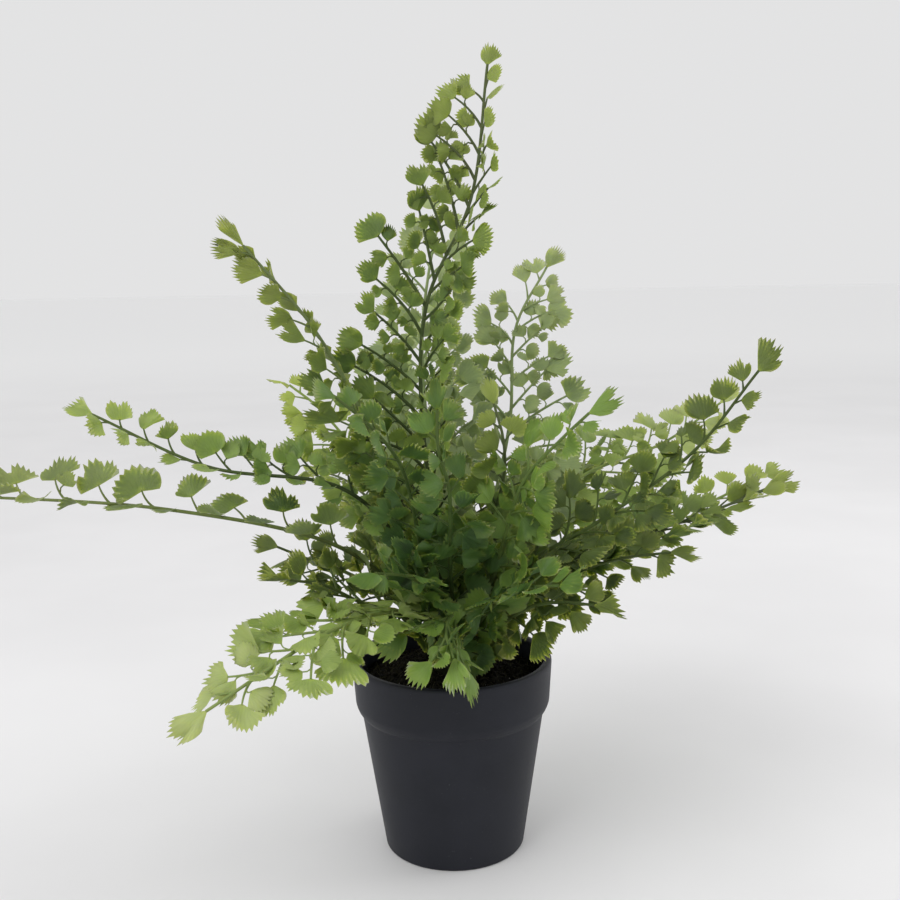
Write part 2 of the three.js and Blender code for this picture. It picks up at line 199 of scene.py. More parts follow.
# Habits: leaf size, branch spacing, half angle of the leaflets' fans in degrees, how far the fans' margins
# fall off at their sides, depth of their teeth, how wide the branches open, the part of the frond, at its
# tip, over which they shorten, and how far the leaflets twist out of the frond's sheet
HABITS = {
    "spiky": (1.06, 1.0, 64, (0.26, 0.5), 0.125, 0.9, 0.36, 0.24),
    "toothed": (1.3, 1.12, 66, (0.26, 0.5), 0.11, 0.9, 0.9, 0.3),
    "round": (1.28, 1.1, 68, (0.3, 0.56), 0.1, 1.0, 0.6, 0.4),
    "wedge": (1.42, 1.26, 60, (0.28, 0.54), 0.11, 0.95, 0.7, 0.32),
    "sparse": (1.6, 1.4, 60, (0.28, 0.54), 0.12, 0.8, 0.45, 0.32),
    "slim": (1.75, 1.2, 52, (0.26, 0.5), 0.1, 0.55, 0.6, 0.3),
    "narrow": (1.55, 1.2, 38, (0.26, 0.5), 0.11, 0.55, 0.6, 0.3),
    "broad": (1.52, 1.6, 82, (0.14, 0.3), 0.1, 1.2, 0.2, 0.2),
}

# Every frond: ring and slot of its socket, the way that its leaves face, the length of its bare stalk, the
# reach of its longest branch to the left and right, the degrees that each side folds up, its habit and
# tone, and the points that it passes through.
FRONDS = {
    "tall_front": (0, 3, (0.1, -1, 0.2), 62, (54, 34), (6, 68), "spiky", "mid",
                   [(-6, -14, 180), (-15, -16, 275), (-10, -20, 330), (15, -20, 385), (25, -20, 456)]),
    "tall_back": (0, 1, (-0.2, -1, 0.3), 60, (44, 44), (8, 8), "round", "pale",
                  [(-5, 20, 170), (-15, 40, 300), (-10, 40, 345), (0, 50, 390)]),
    "back_right_upright": (1, 1, (-0.1, -1, 0.3), 56, (44, 54), (5, 5), "round", "pale",
                           [(22, 38, 180), (40, 65, 250), (45, 75, 310), (66, 85, 348)]),
    "left_high": (0, 2, (0.7, -0.35, 0.6), 58, (28, 14), (-36, -44), "narrow", "moss",
                  [(-18, -2, 175), (-42, -30, 255), (-70, -45, 315), (-105, -56, 361)]),
    "left_upper": (1, 4, (0.1, -0.4, 1), 50, (10, 32), (10, 52), "toothed", "bright",
                   [(-27, -18, 188), (-60, -25, 225), (-135, -30, 240), (-195, -40, 272)]),
    "left_long": (2, 7, (0, -0.2, 1), 46, (5, 14), (34, 58), "broad", "soft",
                  [(-32, -14, 162), (-65, -35, 195), (-155, -45, 219), (-285, -50, 231)]),
    "left_droop": (2, 9, (-0.2, -0.6, 1), 40, (36, 34), (0, 10), "sparse", "lime",
                   [(-15, -25, 147), (-35, -60, 163), (-65, -108, 166), (-115, -153, 145)]),
    "centre_left": (2, 10, (-0.1, -0.7, 0.8), 36, (28, 28), (15, 15), "wedge", "deep",
                    [(-8, -34, 152), (-20, -70, 184), (-38, -98, 195)]),
    "left_low": (2, 8, (-0.1, -0.6, 1), 36, (32, 34), (12, 12), "wedge", "olive",
                 [(-28, -22, 148), (-50, -42, 163), (-70, -57, 178), (-86, -68, 184)]),
    "front_droop": (2, 11, (0.1, -1, 0.8), 32, (40, 40), (-30, -24), "sparse", "fresh",
                    [(6, -35, 150), (0, -64, 161), (-3, -84, 158), (1, -98, 149)]),
    "right_high": (0, 0, (-0.4, -0.8, 0.7), 52, (32, 32), (8, 32), "wedge", "olive",
                   [(30, -10, 165), (85, -30, 205), (135, -40, 245), (168, -48, 290)]),
    "right_long": (2, 1, (-0.1, -0.8, 0.8), 44, (28, 28), (8, 30), "round", "light",
                   [(35, 20, 150), (95, 40, 175), (165, 55, 196), (204, 60, 213)]),
    "right_back": (1, 0, (-0.2, -0.8, 0.9), 52, (36, 36), (12, 12), "round", "lime",
                   [(35, 30, 168), (85, 75, 210), (145, 95, 230), (185, 105, 255)]),
    "right_near": (1, 7, (0.1, -0.7, 0.9), 54, (26, 28), (12, 12), "wedge", "fresh",
                   [(25, -30, 175), (40, -65, 235), (58, -84, 260), (71, -92, 274)]),
    "centre_right": (2, 12, (0.1, -0.7, 0.8), 36, (28, 28), (15, 15), "wedge", "deep",
                     [(18, -32, 150), (36, -74, 178), (55, -102, 188)]),
    "right_low": (2, 13, (0.2, -0.9, 0.8), 34, (26, 24), (10, 10), "wedge", "olive",
                  [(25, -25, 140), (45, -45, 160), (62, -58, 166), (77, -68, 167)]),
    "right_dip": (2, 14, (0.2, -0.7, 0.9), 38, (28, 28), (12, 5), "wedge", "olive",
                  [(30, -8, 150), (64, -15, 168), (98, -20, 180), (127, -23, 184)]),
    "left_back": (1, 3, (-0.2, -0.5, 1), 54, (38, 38), (12, 12), "round", "spring",
                  [(-15, 25, 170), (-50, 60, 220), (-85, 80, 260), (-104, 88, 274)]),
    "left_near": (1, 5, (-0.2, -0.7, 0.8), 56, (22, 22), (12, 12), "toothed", "deep",
                  [(-15, -35, 185), (-25, -70, 245), (-40, -90, 270), (-55, -100, 285)]),
    "front_high": (1, 6, (0, -0.7, 0.8), 54, (21, 21), (12, 12), "toothed", "deep",
                   [(0, -45, 180), (0, -85, 235), (-5, -105, 260), (-5, -115, 280)]),
    "right_front_upright": (0, 4, (0.3, -1, 0.3), 50, (20, 20), (10, 10), "round", "mid",
                            [(15, -20, 180), (30, -40, 230), (30, -50, 255), (25, -50, 275)]),
    "back_left_arch": (2, 5, (-0.2, 0.3, 1), 44, (34, 34), (12, 12), "wedge", "mid",
                       [(-15, 35, 150), (-40, 85, 180), (-70, 130, 200), (-100, 165, 205)]),
    "back_arch": (2, 4, (0, 0.3, 1), 44, (34, 34), (12, 12), "wedge", "fresh",
                  [(0, 35, 155), (0, 90, 195), (5, 140, 215), (10, 180, 220)]),
    "back_right_arch": (2, 2, (0.2, 0.3, 1), 44, (34, 34), (12, 12), "wedge", "mid",
                        [(20, 35, 145), (50, 85, 180), (80, 130, 205), (110, 165, 205)]),
    "right_under": (2, 0, (-0.1, -0.6, 0.9), 44, (26, 28), (10, 25), "slim", "mid",
                    [(32, 2, 152), (95, 2, 182), (157, 14, 199), (195, 22, 212)]),
    "left_side": (2, 6, (-0.1, -0.6, 0.9), 40, (32, 34), (12, 20), "wedge", "olive",
                  [(-28, 8, 145), (-63, 6, 168), (-84, 6, 176), (-104, 8, 184)]),
    "back_upper": (1, 2, (-0.1, -1, 0.4), 54, (24, 24), (10, 10), "round", "pale",
                   [(-8, 38, 175), (-16, 75, 240), (-14, 100, 290), (-4, 118, 325)]),
}

# Tones: shaded and lit green of the leaflets, colour of the young ones, colours of the stems and their tips
TONES = {
    "mid": ((0.042, 0.086, 0.013), (0.139, 0.221, 0.034), (0.295, 0.344, 0.078),
            (0.042, 0.064, 0.017), (0.1, 0.125, 0.05)),
    "soft": ((0.05, 0.091, 0.019), (0.15, 0.216, 0.05), (0.307, 0.344, 0.117),
             (0.09, 0.12, 0.03), (0.2, 0.24, 0.085)),
    "deep": ((0.019, 0.052, 0.01), (0.062, 0.132, 0.025), (0.13, 0.222, 0.042),
             (0.045, 0.078, 0.018), (0.08, 0.12, 0.03)),
    "olive": ((0.031, 0.056, 0.01), (0.091, 0.138, 0.025), (0.153, 0.2, 0.039),
              (0.07, 0.104, 0.025), (0.062, 0.088, 0.024)),
    "fresh": ((0.05, 0.105, 0.016), (0.145, 0.243, 0.036), (0.2, 0.305, 0.06),
              (0.09, 0.14, 0.032), (0.13, 0.19, 0.05)),
    "moss": ((0.042, 0.082, 0.013), (0.135, 0.205, 0.03), (0.28, 0.32, 0.07),
             (0.1, 0.14, 0.048), (0.15, 0.19, 0.07)),
    "spring": ((0.066, 0.122, 0.016), (0.165, 0.245, 0.036), (0.5, 0.58, 0.12),
               (0.15, 0.22, 0.048), (0.25, 0.33, 0.08)),
    "bright": ((0.055, 0.115, 0.018), (0.168, 0.275, 0.045), (0.378, 0.455, 0.13),
               (0.032, 0.05, 0.014), (0.12, 0.165, 0.05)),
    "lime": ((0.145, 0.226, 0.037), (0.255, 0.347, 0.07), (0.463, 0.507, 0.217),
             (0.175, 0.235, 0.06), (0.24, 0.31, 0.1)),
    "light": ((0.096, 0.158, 0.023), (0.216, 0.302, 0.047), (0.354, 0.411, 0.098),
              (0.15, 0.22, 0.048), (0.2, 0.27, 0.07)),
    "pale": ((0.154, 0.211, 0.085), (0.28, 0.365, 0.138), (0.395, 0.46, 0.21),
             (0.19, 0.25, 0.095), (0.27, 0.34, 0.15)),
}


# ---------------------------------------------------------------- shader helpers

class Value:
    """A shader socket that Python's arithmetic works on: each operator adds one Math node."""

    def __init__(self, finish, socket):
        self.finish = finish
        self.socket = socket

    def _math(self, operation, first, second):
        node = self.finish.node("ShaderNodeMath", {"operation": operation}, {0: first, 1: second})
        return Value(self.finish, node.outputs[0])

    def __add__(self, other):
        return self._math("ADD", self, other)

    def __radd__(self, other):
        return self._math("ADD", other, self)

    def __sub__(self, other):
        return self._math("SUBTRACT", self, other)

    def __rsub__(self, other):
        return self._math("SUBTRACT", other, self)

    def __mul__(self, other):
        return self._math("MULTIPLY", self, other)

    def __rmul__(self, other):
        return self._math("MULTIPLY", other, self)

    def __pow__(self, other):
        return self._math("POWER", self, other)

    def sine(self):
        """Sine of the value in radians."""
        return self._math("SINE", self, 0.0)

    def size(self):
        """The value without its sign."""
        return self._math("ABSOLUTE", self, 0.0)

    def ramp(self, low, high):
        """0 below `low`, 1 above `high`, smooth between."""
        node = self.finish.node("ShaderNodeMapRange", {"interpolation_type": "SMOOTHSTEP"},
                                {"Value": self, "From Min": low, "From Max": high})
        return Value(self.finish, node.outputs["Result"])


class Finish:
    """One material: a Principled shader and the nodes that feed it."""

    def __init__(self, name, roughness, **constants):
        self.material = bpy.data.materials.new(name)
        self.material.use_nodes = True
        self.tree = self.material.node_tree
        self.shader = self.tree.nodes["Principled BSDF"]
        self.shader.inputs["Roughness"].default_value = roughness
        for socket, value in constants.items():
            self.shader.inputs[socket.replace("_", " ")].default_value = value

    def node(self, kind, settings=None, inputs=None):
        """A node of this kind, its settings made first and then the values or links of its sockets."""
        node = self.tree.nodes.new(kind)
        for key, value in (settings or {}).items():
            setattr(node, key, value)
        for key, value in (inputs or {}).items():
            if isinstance(value, Value):
                self.tree.links.new(value.socket, node.inputs[key])
            elif isinstance(value, tuple) and node.inputs[key].type == "RGBA":
                node.inputs[key].default_value = (*value, 1.0)
            else:
                node.inputs[key].default_value = value
        return node

    def place(self):
        """The object's own coordinates, in metres."""
        return Value(self, self.node("ShaderNodeTexCoord").outputs["Object"])

    def uv(self, name):
        """The two values of a UV map."""
        source = self.node("ShaderNodeUVMap", {"uv_map": name})
        parts = self.node("ShaderNodeSeparateXYZ", None, {"Vector": Value(self, source.outputs["UV"])})
        return Value(self, parts.outputs["X"]), Value(self, parts.outputs["Y"])

    def tint(self):
        """The two values painted on each point: its place along the frond, and its own chance."""
        source = self.node("ShaderNodeAttribute", {"attribute_name": "tint"})
        parts = self.node("ShaderNodeSeparateColor", None, {"Color": Value(self, source.outputs["Color"])})
        return Value(self, parts.outputs["Red"]), Value(self, parts.outputs["Green"])

    def noise(self, scale, detail=3.0, roughness=0.55, vector=None):
        """Cloudy noise from 0 to 1, with about `scale` lumps to the metre."""
        node = self.node("ShaderNodeTexNoise", None, {"Vector": vector or self.place(), "Scale": scale,
                                                      "Detail": detail, "Roughness": roughness})
        return Value(self, node.outputs["Fac"])

    def mix(self, share, first, second):
        """Colour between `first` and `second` by the share."""
        node = self.node("ShaderNodeMix", {"data_type": "RGBA"}, {0: share, 6: first, 7: second})
        return Value(self, node.outputs[2])

    def scale_colour(self, colour, share):
        """A colour made lighter or darker by a varying value."""
        node = self.node("ShaderNodeVectorMath", {"operation": "SCALE"}, {0: colour, "Scale": share})
        return Value(self, node.outputs[0])

    def stretched(self, scale):
        """The object's coordinates stretched by a scale for each axis."""
        node = self.node("ShaderNodeMapping", None, {"Vector": self.place(), "Scale": scale})
        return Value(self, node.outputs[0])

    def colour(self, value):
        """Joins a colour to the shader's base colour."""
        self.tree.links.new(value.socket, self.shader.inputs["Base Color"])

    def roughness(self, value):
        """Joins a value to the shader's roughness."""
        self.tree.links.new(value.socket, self.shader.inputs["Roughness"])

    def bump(self, height, distance):
        """Surface relief: `height` from 0 to 1 stands for `distance` in metres."""
        node = self.node("ShaderNodeBump", None, {"Height": height, "Distance": distance, "Strength": 1.0})
        self.tree.links.new(node.outputs["Normal"], self.shader.inputs["Normal"])


# ---------------------------------------------------------------- finishes

def leaf_finish(name, shaded, lit, young):
    """Soft moulded leaf plastic: green that turns younger towards the frond's tip, with a little brown on the
    points of the teeth. Painted light and shade: the green is mottled between a shaded and a lit copy by
    cloudy noise and each leaflet's chance, with painted shade at the leafstalk and the margin. The veins
    fan out of the leafstalk: their ridges are the sine, without its sign, of the place across the fan."""
    finish = Finish(name, 0.5, Subsurface_Weight=0.38, Subsurface_Scale=0.001, Specular_IOR_Level=0.3)
    finish.shader.inputs["Subsurface Radius"].default_value = (0.9, 1.0, 0.25)
    across, along = finish.uv("fan")
    age, leaf_chance = finish.tint()
    mottle = finish.noise(70.0).ramp(0.36, 0.66)
    # Painted light and shade: a shaded and a lit green, mixed by cloudy noise and each leaflet's chance
    tone = finish.mix(mottle * 0.45 + leaf_chance * 0.6, shaded, lit)
    tone = finish.mix((age.ramp(0.45, 1.0) * 0.75 + leaf_chance * 0.2) * 0.8, tone, young)
    # Painted shade at the leafstalk end of each leaflet and at its margin
    tone = finish.mix((1 - along.ramp(0.1, 0.6)) * 0.2, tone, shaded)
    tone = finish.mix(along.ramp(0.7, 1.0) * 0.3, tone, shaded)
    tone = finish.mix(along.ramp(0.94, 1.0) * leaf_chance * 0.7, tone, (0.11, 0.075, 0.02))
    ridge = (across * (VEINS * math.pi)).sine().size()
    tone = finish.scale_colour(tone, 0.9 + (ridge ** 0.35) * 0.1)
    finish.colour(tone)
    finish.roughness(0.44 + finish.noise(400.0, 2.0) * 0.2)
    finish.bump(ridge * 0.6 + mottle * 0.4, 0.00009)
    return finish.material


def stem_finish(name, colour, tip):
    """Satin stem plastic, darker near the crown and lighter at the frond's tip, with a fine grain."""
    finish = Finish(name, 0.5, Subsurface_Weight=0.1, Subsurface_Scale=0.0006, Specular_IOR_Level=0.16)
    age = finish.tint()[0]
    light = tuple(1.4 * part for part in colour)
    dark = tuple(0.4 * part for part in colour)
    tone = finish.mix(finish.noise(160.0).ramp(0.35, 0.68), colour, light)
    tone = finish.mix(age.ramp(0.35, 0.95) * 0.9, tone, tip)
    tone = finish.mix((1 - age.ramp(0.0, 0.45)) * 0.8, tone, dark)
    finish.colour(tone)
    finish.roughness(0.4 + finish.noise(700.0) * 0.2)
    finish.bump(finish.noise(1200.0), 0.00015)
    return finish.material


def pot_finish():
    """Charcoal moulded plastic with a slight blue cast: faint clouding, fine grain and a few pale
    specks."""
    finish = Finish("charcoal_pot_plastic", 0.5, Specular_IOR_Level=0.24)
    cloud = finish.noise(26.0, 4.0).ramp(0.3, 0.72)
    grain = finish.noise(2600.0, 2.0)
    speck = finish.noise(900.0, 1.0).ramp(0.765, 0.785)
    tone = finish.mix(cloud, (0.0103, 0.0116, 0.017), (0.0162, 0.0177, 0.0246))
    tone = finish.mix(speck * 0.3, tone, (0.12, 0.125, 0.135))
    finish.colour(tone)
    finish.roughness(0.44 + cloud * 0.08 + grain * 0.08)
    finish.bump(grain * 0.7 + finish.noise(380.0, 2.0) * 0.5, 0.00008)
    return finish.material


def soil_finish():
    """Damp black-brown peat with brown fibres showing through."""
    finish = Finish("peat_and_moss", 0.95, Specular_IOR_Level=0.1)
    clump = finish.noise(180.0, 5.0).ramp(0.35, 0.68)
    fibre = finish.noise(600.0, 4.0, 0.7, finish.stretched((1.0, 0.35, 1.0))).ramp(0.5, 0.7)
    tone = finish.mix(clump, (0.003, 0.0033, 0.0024), (0.0115, 0.0105, 0.0065))
    tone = finish.mix(fibre * 0.5, tone, (0.034, 0.03, 0.018))
    finish.colour(tone)
    finish.roughness(0.85 + clump * 0.12)
    finish.bump(clump + fibre * 0.6, 0.0009)
    return finish.material


def crumb_finish(name, dark, light):
    """Crumbs and fibres of the topping, each a little different."""
    finish = Finish(name, 0.9, Specular_IOR_Level=0.1)
    chance = finish.tint()[1]
    tone = finish.mix(chance * 0.6 + finish.noise(500.0) * 0.4, dark, light)
    finish.colour(tone)
    finish.roughness(0.8 + finish.noise(900.0) * 0.15)
    finish.bump(finish.noise(1800.0, 4.0), 0.0003)
    return finish.material


def inner_finish(name, dark, light, scale, relief):
    """Cast cement and pressed foam, which the pot and the soil hide."""
    finish = Finish(name, 0.95)
    grain = finish.noise(scale, 6.0)
    finish.colour(finish.mix(grain.ramp(0.3, 0.7), dark, light))
    finish.roughness(0.85 + grain * 0.1)
    finish.bump(grain, relief)
    return finish.material


def floor_finish():
    """Plain matt white table top with a barely visible unevenness, and painted light far away from the plant:
    it grows paler there, where the lamps' light falls off."""
    finish = Finish("pale_floor", 0.6, Specular_IOR_Level=0.3)
    cloud = finish.noise(3.0, 3.0)
    near = finish.mix(cloud.ramp(0.3, 0.7), (0.78, 0.775, 0.78), (0.82, 0.815, 0.82))
    away = finish.node("ShaderNodeVectorMath", {"operation": "LENGTH"}, {0: finish.place()}).outputs["Value"]
    # Painted light: paler with distance from the plant, where less of the lamps' light falls
    finish.colour(finish.mix(Value(finish, away).ramp(0.8, 5.0), near, (0.97, 0.97, 0.97)))
    finish.roughness(0.55 + cloud * 0.1)
    return finish.material


# ---------------------------------------------------------------- meshes from arrays

class Mesh:
    """Points, faces and painted values gathered in arrays and made into one object at the end."""

    def __init__(self):
        self.points = []
        self.faces = []
        self.kinds = []
        self.uvs = []
        self.tints = []
        self.count = 0

    def add(self, points, faces, kind=0, uv=None, tint=None):
        """Adds points (n, 3) in millimetres and faces, a list of (m, corners) arrays that index them, with
        one of the piece's materials, and its own UV and painted values (n, 2) where it has them."""
        self.points.append(points)
        for group in faces:
            self.faces.append(group + self.count)
            self.kinds.append(np.full(len(group), kind))
        self.uvs.append(np.zeros((len(points), 2)) if uv is None else uv)
        self.tints.append(np.zeros((len(points), 2)) if tint is None else tint)
        self.count += len(points)

    def add_tubes(self, paths, radii, sides, up, kind=0, tint=None):
        """Adds round bars along paths, as `tubes` makes them."""
        points, faces, uv, painted = tubes(paths, radii, sides, up, tint)
        self.add(points, faces, kind, uv, painted)

    def piece(self, name, materials, smooth_below=50.0):
        """The object: placed at the origin, riding on the root body, smooth up to an angle in degrees."""
        mesh = bpy.data.meshes.new(name)
        points = np.concatenate(self.points) * MM
        corners = np.concatenate([group.ravel() for group in self.faces])
        sizes = np.concatenate([np.full(len(group), group.shape[1]) for group in self.faces])
        mesh.vertices.add(len(points))
        mesh.vertices.foreach_set("co", points.ravel())
        mesh.loops.add(len(corners))
        mesh.loops.foreach_set("vertex_index", corners)
        mesh.polygons.add(len(sizes))
        mesh.polygons.foreach_set("loop_start", np.cumsum(sizes) - sizes)
        mesh.update(calc_edges=True)
        for material in materials:
            mesh.materials.append(material)
        mesh.polygons.foreach_set("material_index", np.concatenate(self.kinds))
        uv = mesh.uv_layers.new(name="fan")
        uv.data.foreach_set("uv", np.concatenate(self.uvs)[corners].ravel())
        tint = mesh.attributes.new("tint", "FLOAT_COLOR", "POINT")
        painted = np.ones((len(points), 4))
        painted[:, :2] = np.concatenate(self.tints)
        tint.data.foreach_set("color", painted.ravel())
        mesh.polygons.foreach_set("use_smooth", np.ones(len(sizes), bool))
        mesh.set_sharp_from_angle(angle=math.radians(smooth_below))
        mesh.validate()
        thing = bpy.data.objects.new(name, mesh)
        bpy.context.scene.collection.objects.link(thing)
        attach(thing, "root")
        return thing


def between(ends, share):
    """The value a share of the way from the first end to the second."""
    return ends[0] + (ends[1] - ends[0]) * share


def unit(vectors):
    """Vectors made one long."""
    return vectors / np.maximum(np.linalg.norm(vectors, axis=-1, keepdims=True), 1e-9)


def turned_by(vectors, axes, angles):
    """Vectors turned about unit axes by angles: v cos a + (k x v) sin a + k (k . v)(1 - cos a)."""
    cosine = np.cos(angles)[:, None]
    sine = np.sin(angles)[:, None]
    dot = np.sum(axes * vectors, axis=1, keepdims=True)
    return vectors * cosine + np.cross(axes, vectors) * sine + axes * dot * (1 - cosine)


def copies(faces, count, points):
    """The faces of many copies of one shape, each copy's points numbered on from the last one's."""
    offsets = (np.arange(count) * points)[:, None, None]
    return [(group[None] + offsets).reshape(-1, group.shape[1]) for group in faces]


def tubes(paths, radii, sides, up, tint=None):
    """Round bars along many paths at once: a ring's point is the path's point plus its radius times normal
    cos a + side sin a, where both lie across the path. The ends are closed.

    paths (bars, rings, 3), radii (bars, rings), up (bars, 3), any direction that isn't along the bar, and
    tint, the painted values of each bar (bars, 2) or of each ring (bars * rings, 2)."""
    bars, rings, _ = paths.shape
    ahead = unit(np.gradient(paths, axis=1))
    reference = np.broadcast_to(up[:, None, :], ahead.shape)
    normal = unit(reference - ahead * np.sum(reference * ahead, axis=2, keepdims=True))
    side = np.cross(ahead, normal)
    angle = 2 * np.pi * np.arange(sides) / sides
    spokes = (normal[:, :, None] * np.cos(angle)[None, None, :, None]
              + side[:, :, None] * np.sin(angle)[None, None, :, None])
    points = (paths[:, :, None] + spokes * radii[:, :, None, None]).reshape(-1, 3)
    ring = np.arange(rings - 1)[:, None] * sides
    here = np.arange(sides)[None, :]
    after = (here + 1) % sides
    above = ring + sides
    quads = np.stack([ring + here, ring + after, above + after, above + here], -1).reshape(-1, 4)
    first = np.arange(sides)[::-1][None, :]
    last = (rings - 1) * sides + np.arange(sides)[None, :]
    faces = copies([quads, first, last], bars, rings * sides)
    along = np.broadcast_to(np.linspace(0, 1, rings)[None, :, None], (bars, rings, sides))
    around = np.broadcast_to((angle / (2 * np.pi))[None, None, :], (bars, rings, sides))
    uv = np.stack([around, along], -1).reshape(-1, 2)
    painted = None if tint is None else np.repeat(tint, len(points) // len(tint), axis=0)
    return points, faces, uv, painted


def lathe(profile, segments):
    """A closed solid of revolution about Z: each (radius, height) pair of a profile that starts and ends on
    the axis becomes a ring of points at radius cos a, radius sin a."""
    profile = np.asarray(profile, float)
    inner = profile[1:-1]
    angle = 2 * np.pi * np.arange(segments) / segments
    ring = np.stack([inner[:, None, 0] * np.cos(angle), inner[:, None, 0] * np.sin(angle),
                     np.broadcast_to(inner[:, None, 1], (len(inner), segments))], -1)
    bottom = [[0, 0, profile[0, 1]]]
    top = [[0, 0, profile[-1, 1]]]
    points = np.concatenate([bottom, ring.reshape(-1, 3), top])
    here = np.arange(segments)
    after = (here + 1) % segments
    rows = 1 + np.arange(len(inner) - 1)[:, None] * segments
    quads = np.stack([rows + here, rows + after, rows + segments + after, rows + segments + here], -1)
    last = 1 + (len(inner) - 1) * segments
    low = np.stack([np.zeros(segments, int), 1 + after, 1 + here], -1)
    high = np.stack([np.full(segments, len(points) - 1), last + here, last + after], -1)
    return points, [quads.reshape(-1, 4), low, high]


def rounded(profile, steps=6):
    """A profile with its corners rounded: each (radius, height, fillet) corner becomes a quadratic arc that
    starts and ends `fillet` before and after it."""
    points = np.array([(r, z) for r, z, _ in profile], float)
    fillets = [f for _, _, f in profile]
    out = [points[0]]
    for i in range(1, len(points) - 1):
        before = unit(points[i - 1] - points[i])
        behind = unit(points[i + 1] - points[i])
        if fillets[i] == 0:
            out.append(points[i])
            continue
        t = np.linspace(0, 1, steps)[:, None]
        start = points[i] + before * fillets[i]
        end = points[i] + behind * fillets[i]
        out.extend((1 - t) ** 2 * start + 2 * t * (1 - t) * points[i] + t ** 2 * end)
    out.append(points[-1])
    return np.array(out)


# ---------------------------------------------------------------- pot, soil and crown

def body_at(height):
    """Outer radius of the pot's tapered body."""
    return BASE_RADIUS + BODY_SLOPE * height


def make_pot(material):
    """Thin tapered wall with a deep collar and a rolled lip: one profile of (radius, height, fillet)
    corners, up the outside, over the lip and down the inside, turned round the axis."""
    top = POT_HEIGHT
    outside = [
        (0, 0, 0),
        (BASE_RADIUS, 0, 1.6),
        (body_at(COLLAR_BOTTOM), COLLAR_BOTTOM, 0.8),
        (COLLAR_RADIUS - 1.4, COLLAR_EDGE - 5.2, 2.2),
        (COLLAR_RADIUS, COLLAR_EDGE - 1, 1.0),
        (COLLAR_RADIUS + 0.1, COLLAR_EDGE + 0.4, 0.3),
    ]
    lip = [
        (RIM_RADIUS, top - 2.8, 0.8),
        (RIM_RADIUS - 0.2, top, 1.9),
        (RIM_RADIUS - LIP_WIDTH + 0.9, top, 0.8),
        (RIM_RADIUS - LIP_WIDTH, top - 1.6, 0.7),
        (RIM_RADIUS - LIP_WIDTH + 0.3, top - 4, 0.8),
    ]
    inside = [
        (COLLAR_RADIUS - WALL, COLLAR_EDGE, 2),
        (body_at(COLLAR_BOTTOM) - WALL, COLLAR_BOTTOM, 1.5),
        (body_at(FLOOR) - WALL, FLOOR, 1.5),
        (0, FLOOR, 0),
    ]
    mesh = Mesh()
    mesh.add(*lathe(rounded(outside + lip + inside), POT_SEGMENTS))
    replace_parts(mesh.piece("pot_moulding", [material], 40.0), "pot")


def lumps(x, y, chance, size, waves=24):
    """Uneven ground: a sum of sine waves in random directions, all about `size` long."""
    heading = chance.uniform(0, 2 * np.pi, waves)
    pitch = 2 * np.pi / (size * chance.uniform(0.6, 1.6, waves))
    shift = chance.uniform(0, 2 * np.pi, waves)
    phase = (x[..., None] * np.cos(heading) + y[..., None] * np.sin(heading)) * pitch + shift
    return np.sin(phase).sum(-1) / math.sqrt(waves)


def soil_height(x, y, seed=4):
    """Height of the topping: it falls from the crown to the wall as the distance to the power 1.5, with
    coarse, middle and fine lumps added."""
    chance = np.random.default_rng(seed)
    reach = np.hypot(x, y) / SOIL_SPAN
    height = between((SOIL_MIDDLE, SOIL_EDGE), reach ** 1.5)
    for size, depth in SOIL_LUMPS:
        height = height + lumps(x, y, chance, size) * depth
    return height


def make_soil(material):
    """Peat topping: a disc of rings, whose radius grows as their number to the power 0.9 and whose height
    follows soil_height, closed by a flat underside."""
    rings, spokes = SOIL_RINGS, SOIL_SPOKES
    reach = SOIL_RADIUS * np.linspace(0, 1, rings + 1)[1:] ** 0.9
    angle = 2 * np.pi * np.arange(spokes) / spokes
    x, y = reach[:, None] * np.cos(angle), reach[:, None] * np.sin(angle)
    top = np.stack([x, y, soil_height(x, y)], -1).reshape(-1, 3)
    rim = top[-spokes:].copy()
    rim[:, 2] = SOIL_BOTTOM
    middle = np.array([[0, 0, float(soil_height(np.zeros(1), np.zeros(1))[0])], [0, 0, SOIL_BOTTOM]])
    points = np.concatenate([middle, top, rim])
    here = np.arange(spokes)
    after = (here + 1) % spokes
    rows = 2 + np.arange(rings)[:, None] * spokes
    next_rows = rows + spokes
    quads = np.stack([rows + here, next_rows + here, next_rows + after, rows + after], -1).reshape(-1, 4)
    cap = np.stack([np.zeros(spokes, int), 2 + here, 2 + after], -1)
    last = 2 + rings * spokes
    under = np.stack([np.ones(spokes, int), last + after, last + here], -1)
    mesh = Mesh()
    mesh.add(points, [quads, cap, under])
    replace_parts(mesh.piece("soil_topping", [material], 80.0), "soil")


def make_crumbs(name, count, sizes, material, seed):
    """Crumbs on the soil: little balls, each a ring grid of six by three with closed poles, stretched and
    dented by chance, then turned about Y."""
    chance = np.random.default_rng(seed)
    reach = CRUMB_REACH * np.sqrt(chance.uniform(0.06, 1, count))
    angle = chance.uniform(0, 2 * np.pi, count)
    x, y = reach * np.cos(angle), reach * np.sin(angle)
    size = chance.uniform(*sizes, count) / 2
    ball, faces = lathe([(0, -1), (0.8, -0.6), (1, 0), (0.75, 0.65), (0, 1)], 6)
    shape = ball[None] * chance.uniform(*CRUMB_STRETCH, (count, 1, 3))
    shape = shape * (1 + chance.uniform(-CRUMB_DENT, CRUMB_DENT, (count, len(ball), 1)))
    spin = chance.uniform(0, 2 * np.pi, count)
    cosine, sine = np.cos(spin)[:, None], np.sin(spin)[:, None]
    turned = np.stack([shape[..., 0] * cosine - shape[..., 2] * sine, shape[..., 1],
                       shape[..., 0] * sine + shape[..., 2] * cosine], -1)
    centre = np.stack([x, y, soil_height(x, y) + size * 0.45], -1)
    points = (centre[:, None] + turned * size[:, None, None]).reshape(-1, 3)
    tint = np.stack([np.zeros(count), chance.uniform(0, 1, count)], -1)
    mesh = Mesh()
    mesh.add(points, copies(faces, count, len(ball)), tint=np.repeat(tint, len(ball), axis=0))
    mesh.piece(name, [material], 60.0)


